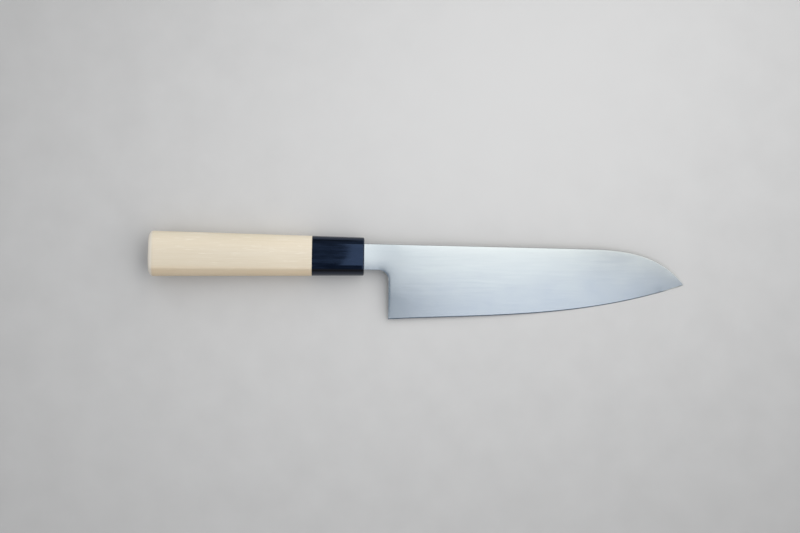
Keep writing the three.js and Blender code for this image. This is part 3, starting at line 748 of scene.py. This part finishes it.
addNode(tree, "OutputMaterial", {"Surface": floorShader.outputs["BSDF"]})
half = floor["size"] / 2
floorMesh = bpy.data.meshes.new("floor")
floorCorners = [(-half, -half, 0), (half, -half, 0), (half, half, 0), (-half, half, 0)]
floorMesh.from_pydata(floorCorners, [], [(0, 1, 2, 3)])
floorMesh.materials.append(boardWithPaintedLight)
floorPiece = bpy.data.objects.new("floor", floorMesh)
bpy.context.scene.collection.objects.link(floorPiece)

# A long white panel beside the camera, cooler along its left edge, with two cards along its front and
# right, which the blade and the horn mirror, in a pale room that is dim overhead and towards the floor.
# Places and sizes are in metres, turns in degrees.
lights = {
    "panel": {
        "place": (0.1495, 0.475, 0.72), "size": (0.171, 1.45), "turn": -0.8,
        "watts": 1.2123, "colour": "#fffcf6"},
    "panelEdge": {
        "place": (0.039, 0.4766, 0.72), "size": (0.05, 1.45), "turn": -0.8,
        "watts": 0.3687, "colour": "#fbfcff"},
    "frontCard": {
        "place": (0.1855, -0.3435, 0.72), "size": (0.259, 0.187), "turn": 0.0,
        "watts": 0.165, "colour": "#f0f3ff"},
    "sideCard": {
        "place": (0.3, 0.0785, 0.72), "size": (0.12, 0.643), "turn": 0.0,
        "watts": 0.214, "colour": "#fff9f0"},
}
room = {
    "wall": "#fffefc", "level": 1.2,
    # dim patches overhead, on the unit sphere seen from below: middle, reach and colour
    "dimPatches": (((0.06, 0.25), (0.2, 1.0), "#8a93a1"), ((0.0, -0.56), (0.5, 0.36), "#68768b")),
    "dimFade": (1.1, 0.8),
    "skirting": (0.05, 0.4), "skirtingLevel": 0.4,   # the walls dim towards the floor
    "lean": (0.42, 0.12, 0.0),              # brighter to the right and at the back
    "spread": (0.0, -0.5, 0.0),             # and less so straight in front and behind
}
for name, light in lights.items():
    lamp = bpy.data.lights.new(name, "AREA")
    lamp.shape = "RECTANGLE"
    lamp.size, lamp.size_y = light["size"]
    lamp.energy = light["watts"]
    lamp.color = hexColour(light["colour"])[:3]
    lampObject = bpy.data.objects.new(name, lamp)
    lampObject.location = light["place"]
    lampObject.rotation_euler = (0, 0, radians(light["turn"]))   # faces straight down
    lampObject.visible_camera = False
    bpy.context.scene.collection.objects.link(lampObject)
world = bpy.data.worlds.new("room")
world.use_nodes = True
world.node_tree.nodes.clear()
tree = world.node_tree
toward = addNode(tree, "TexCoord").outputs["Generated"]
roomColour = hexColour(room["wall"])
for middle, reach, colour in room["dimPatches"]:
    fromMiddle = addNode(tree, "VectorMath", {0: toward, 1: (*middle, 0.0)}, operation="SUBTRACT")
    inReach = addNode(tree, "VectorMath", {
        0: fromMiddle.outputs["Vector"], 1: (1 / reach[0], 1 / reach[1], 0.0)}, operation="MULTIPLY")
    distance = addNode(tree, "VectorMath", {0: inReach.outputs["Vector"]}, operation="LENGTH")
    patch = addNode(tree, "MapRange", {
        "Value": distance.outputs["Value"], "From Min": room["dimFade"][0], "From Max": room["dimFade"][1]},
        interpolation_type="SMOOTHSTEP")
    roomColour = addNode(tree, "Mix", {
        0: patch.outputs["Result"], 6: roomColour, 7: hexColour(colour)}, data_type="RGBA").outputs[2]
leaning = addNode(tree, "VectorMath", {0: toward, 1: room["lean"]}, operation="DOT_PRODUCT")
squares = addNode(tree, "VectorMath", {0: toward, 1: toward}, operation="MULTIPLY")
spreading = addNode(tree, "VectorMath", {
    0: squares.outputs["Vector"], 1: room["spread"]}, operation="DOT_PRODUCT")
uneven = addNode(tree, "Math", {
    0: leaning.outputs["Value"], 1: spreading.outputs["Value"]}, operation="ADD")
roomLevel = addNode(tree, "Math", {
    0: uneven.outputs[0], 1: room["level"], 2: room["level"]}, operation="MULTIPLY_ADD")
towardAxes = addNode(tree, "SeparateXYZ", {"Vector": toward})
skirting = addNode(tree, "MapRange", {
    "Value": towardAxes.outputs["Z"], "From Min": room["skirting"][0], "From Max": room["skirting"][1],
    "To Min": room["skirtingLevel"]}, interpolation_type="SMOOTHSTEP")
roomLight = addNode(tree, "Math", {
    0: roomLevel.outputs[0], 1: skirting.outputs["Result"]}, operation="MULTIPLY")
backdrop = addNode(tree, "Background", {"Color": roomColour, "Strength": roomLight.outputs[0]})
addNode(tree, "OutputWorld", {"Surface": backdrop.outputs["Background"]})
bpy.context.scene.world = world

# Camera straight above, turned a little, as the photograph was taken.
camera = {
    "over": (0.0207, -0.0054), "height": 1.08, "turn": 0.9,   # metres from the mouth, degrees
    "lens": 84.7, "sensor": 36.0, "near": 0.01,               # mm, mm, metres
}
lens = bpy.data.cameras.new("camera")
lens.lens = camera["lens"]
lens.sensor_width = camera["sensor"]
lens.clip_start = camera["near"]
cameraObject = bpy.data.objects.new("camera", lens)
cameraObject.location = mouthPoint + np.array([*camera["over"], camera["height"]])
cameraObject.rotation_euler = (0, 0, radians(camera["turn"]))
bpy.context.scene.collection.objects.link(cameraObject)
bpy.context.scene.camera = cameraObject
bpy.context.scene.view_settings.view_transform = "Standard"
print("stage, lights and camera set")
